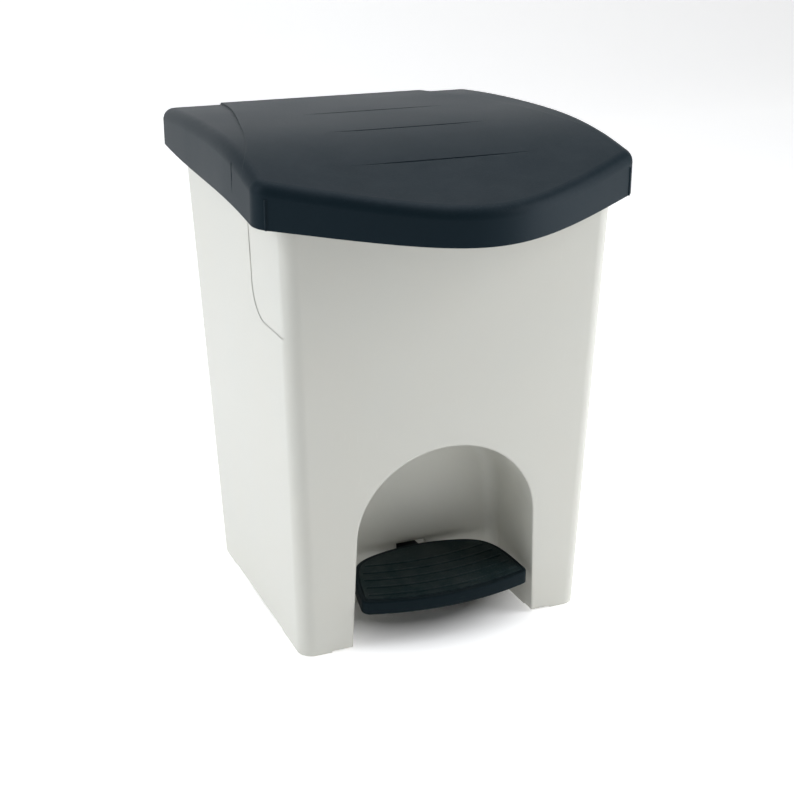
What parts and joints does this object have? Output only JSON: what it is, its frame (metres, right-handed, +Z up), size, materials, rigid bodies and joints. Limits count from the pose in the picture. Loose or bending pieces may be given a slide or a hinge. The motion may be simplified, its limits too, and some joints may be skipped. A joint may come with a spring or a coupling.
{
  "type": "dual recycling bin",
  "caption": "Free-standing pedal bin: tapered housing with an arched foot alcove, hinged bowed lid raised by a pedal and rod, and side-by-side inner buckets with bail handles.",
  "frame": {"origin": "centre of the bounding box at floor level, under the middle of the lid's outline", "axes": "+Z up, +Y towards the hinge side, +X to the right seen from the front (the pedal faces -Y)"},
  "size_m": [0.35, 0.41, 0.46],
  "materials": {
    "body_plastic": "satin moulded plastic, warm light grey",
    "lid_plastic": "satin moulded plastic, blue-black",
    "pedal_plastic": "satin moulded plastic, navy",
    "pedal_rubber": "matt ribbed tread",
    "steel": "zinc-plated wire and pins",
    "guide_plastic": "smooth moulded plastic",
    "bucket_plastic": "fine-grained moulded plastic, mid grey",
    "grip_plastic": "smooth moulded plastic",
    "foot_rubber": "matt rubber"
  },
  "bodies": {
    "housing": {"outer_body": "body_plastic", "hinge_pin_left": "steel", "hinge_pin_right": "steel", "pedal_axle": "steel", "axle_clip_left": "steel", "axle_clip_right": "steel", "rod_guide_lower": "guide_plastic", "rod_guide_upper": "guide_plastic", "bucket_left": "bucket_plastic", "bucket_right": "bucket_plastic", "foot_front_left": "foot_rubber", "foot_front_right": "foot_rubber", "foot_rear_left": "foot_rubber", "foot_rear_right": "foot_rubber"},
    "lid": {"lid": "lid_plastic", "lid_buffer_left": "foot_rubber", "lid_buffer_right": "foot_rubber"},
    "pedal": {"pedal": "pedal_plastic", "pedal_pad": "pedal_rubber"},
    "rod": {"lift_rod": "steel", "rod_top_clip": "steel", "rod_bottom_clip": "steel"},
    "handle_left": {"bucket_handle_left": "steel", "handle_grip_left": "grip_plastic"},
    "handle_right": {"bucket_handle_right": "steel", "handle_grip_right": "grip_plastic"}
  },
  "joints": [
    {"name": "lid_hinge", "type": "hinge", "parent": "housing", "child": "lid", "pos_m": [0, 0.1959, 0.425], "axis": [-1, 0, 0], "range_deg": [0, 80]},
    {"name": "pedal_pivot", "type": "hinge", "parent": "housing", "child": "pedal", "pos_m": [0, 0.03, 0.035], "axis": [1, 0, 0], "range_deg": [0, 11.02]},
    {"name": "rod_pivot", "type": "hinge", "parent": "lid", "child": "rod", "pos_m": [0, 0.18326, 0.41439], "axis": [-1, 0, 0], "range_deg": [-80, 0]},
    {"name": "handle_left_swing", "type": "hinge", "parent": "housing", "child": "handle_left", "pos_m": [-0.07468, 0.02335, 0.362], "axis": [0, 1, 0], "range_deg": [0, 90]},
    {"name": "handle_right_swing", "type": "hinge", "parent": "housing", "child": "handle_right", "pos_m": [0.07468, 0.02335, 0.362], "axis": [0, -1, 0], "range_deg": [0, 90]}
  ],
  "couplings": [
    {"joint": "pedal_pivot", "follows": "lid_hinge", "ratio": 0.13769},
    {"joint": "rod_pivot", "follows": "lid_hinge", "ratio": -1}
  ]
}
